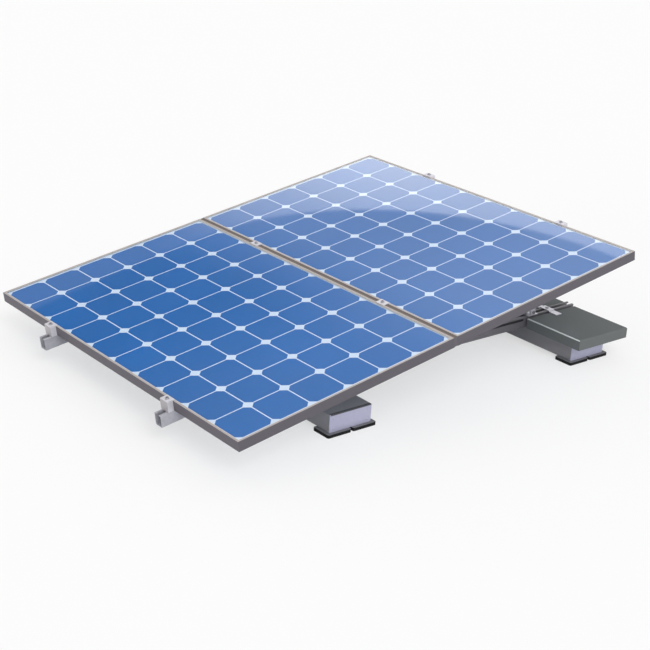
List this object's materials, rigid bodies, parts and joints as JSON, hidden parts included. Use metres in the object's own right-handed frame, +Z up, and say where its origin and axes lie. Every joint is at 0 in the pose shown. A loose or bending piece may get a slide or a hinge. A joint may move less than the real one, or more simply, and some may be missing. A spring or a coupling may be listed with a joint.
{
  "type": "solar ballast mount",
  "caption": "Tilted flat-roof solar mount: framed modules clamped to sloping C-rails on legs, standing on ballast boxes and paving slabs.",
  "frame": {"origin": "on the roof, at the bottom centre of the whole mount's box", "axes": "+X runs uphill towards the raised edge, +Y along the module seam to the left side, +Z up"},
  "size_m": [2.155, 1.65, 0.5307],
  "materials": {
    "frame_aluminium": "satin anodised, dark grey",
    "solar_glass": "clear, smooth",
    "solar_cell": "smooth blue silicon",
    "backsheet": "white polymer film",
    "junction_plastic": "matt black",
    "paving_concrete": "fine-textured dark grey concrete",
    "box_steel": "satin dark grey paint on sheet steel",
    "cap_steel": "bright galvanised sheet",
    "pad_rubber": "matt black rubber",
    "rail_steel": "galvanised, satin",
    "bright_bracket": "bright zinc, satin",
    "bolt_steel": "stainless, satin"
  },
  "bodies": {
    "root": {"base_nuts": "bolt_steel", "clamp_bolts": "bolt_steel", "clamp_nuts": "bolt_steel", "cross_bolts": "bolt_steel", "cross_nuts": "bolt_steel", "front_ballast_blocks": "paving_concrete", "front_ballast_box": "box_steel", "front_box_left_cap": "cap_steel", "front_box_right_cap": "cap_steel", "front_left_pads": "pad_rubber", "front_right_pads": "pad_rubber", "left_base_rail": "rail_steel", "left_front_plates": "rail_steel", "left_high_clamp": "bright_bracket", "left_inner_slab": "paving_concrete", "left_leg_foot": "bright_bracket", "left_low_clamp": "bright_bracket", "left_mid_clamp": "bright_bracket", "left_module_rail": "rail_steel", "left_outer_slab": "paving_concrete", "left_rear_leg": "rail_steel", "left_slab_hook": "bright_bracket", "lower_junction_box": "junction_plastic", "lower_junction_lid": "junction_plastic", "lower_module_backsheet": "backsheet", "lower_module_cells": "solar_cell", "lower_module_glass": "solar_glass", "lower_module_high_bar": "frame_aluminium", "lower_module_left_bar": "frame_aluminium", "lower_module_low_bar": "frame_aluminium", "lower_module_right_bar": "frame_aluminium", "rear_ballast_blocks": "paving_concrete", "rear_ballast_box": "box_steel", "rear_box_left_cap": "cap_steel", "rear_box_right_cap": "cap_steel", "rear_left_pads": "pad_rubber", "rear_right_pads": "pad_rubber", "right_base_rail": "rail_steel", "right_front_plates": "rail_steel", "right_high_clamp": "bright_bracket", "right_inner_slab": "paving_concrete", "right_leg_foot": "bright_bracket", "right_low_clamp": "bright_bracket", "right_mid_clamp": "bright_bracket", "right_module_rail": "rail_steel", "right_outer_slab": "paving_concrete", "right_rear_leg": "rail_steel", "right_slab_hook": "bright_bracket", "short_bolts": "bolt_steel", "upper_junction_box": "junction_plastic", "upper_junction_lid": "junction_plastic", "upper_module_backsheet": "backsheet", "upper_module_cells": "solar_cell", "upper_module_glass": "solar_glass", "upper_module_high_bar": "frame_aluminium", "upper_module_left_bar": "frame_aluminium", "upper_module_low_bar": "frame_aluminium", "upper_module_right_bar": "frame_aluminium"}
  },
  "joints": []
}
